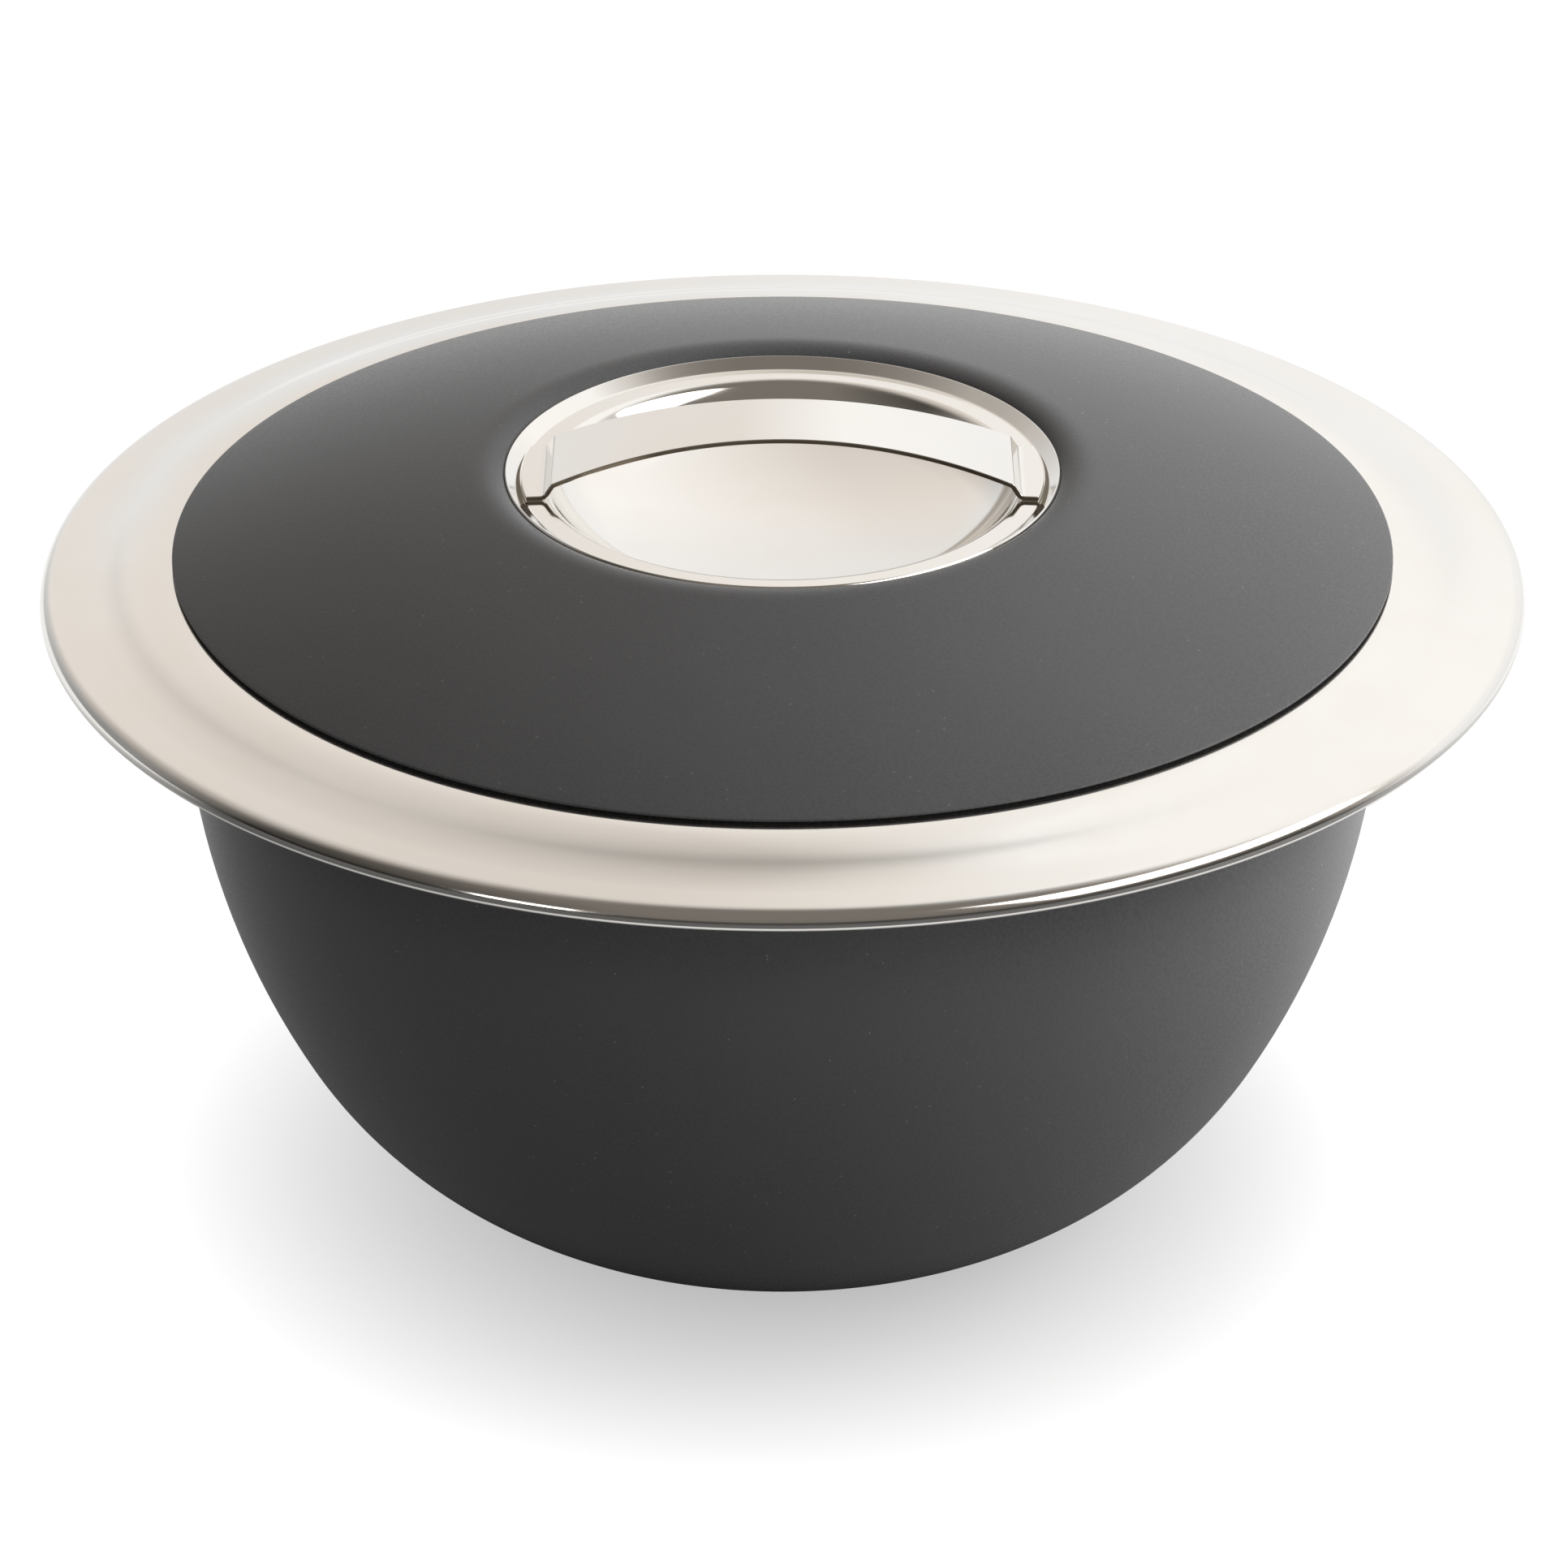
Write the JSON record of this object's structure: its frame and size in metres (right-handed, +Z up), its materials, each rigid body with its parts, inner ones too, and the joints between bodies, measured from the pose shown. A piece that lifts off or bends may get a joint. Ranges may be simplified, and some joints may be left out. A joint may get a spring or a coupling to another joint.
{
  "type": "insulated bowl with lid",
  "caption": "Round insulated steel bowl with a charcoal shell, a wide polished flange and a domed lift-off lid whose strap handle sits in a finger dish.",
  "frame": {"origin": "centre of the base, on the surface the bowl stands on", "axes": "+Z up along the bowl's axis, +X along the handle strap, -Y towards the viewer"},
  "size_m": [0.3, 0.3, 0.1693],
  "materials": {
    "polished_steel": "mirror polished",
    "charcoal_coat": "fine-grained matte powder coat",
    "plated_steel": "zinc plated",
    "black_rubber": "matte",
    "black_plastic": "matte",
    "foam": "rigid foam"
  },
  "bodies": {
    "bowl": {"inner_bowl": "polished_steel", "outer_shell": "charcoal_coat", "bowl_insulation": "foam", "rim_gasket": "black_rubber", "base_plug": "black_plastic"},
    "lid": {"lid_cover": "charcoal_coat", "lid_liner": "polished_steel", "lid_insulation": "foam", "handle_dish": "polished_steel", "handle_strap": "polished_steel", "clamp_ring": "plated_steel", "clamp_studs": "plated_steel", "clamp_nuts": "plated_steel"}
  },
  "joints": [
    {"name": "lid_lift", "type": "slide", "parent": "bowl", "child": "lid", "axis": [0, 0, 1], "range_m": [0, 0.15]}
  ]
}
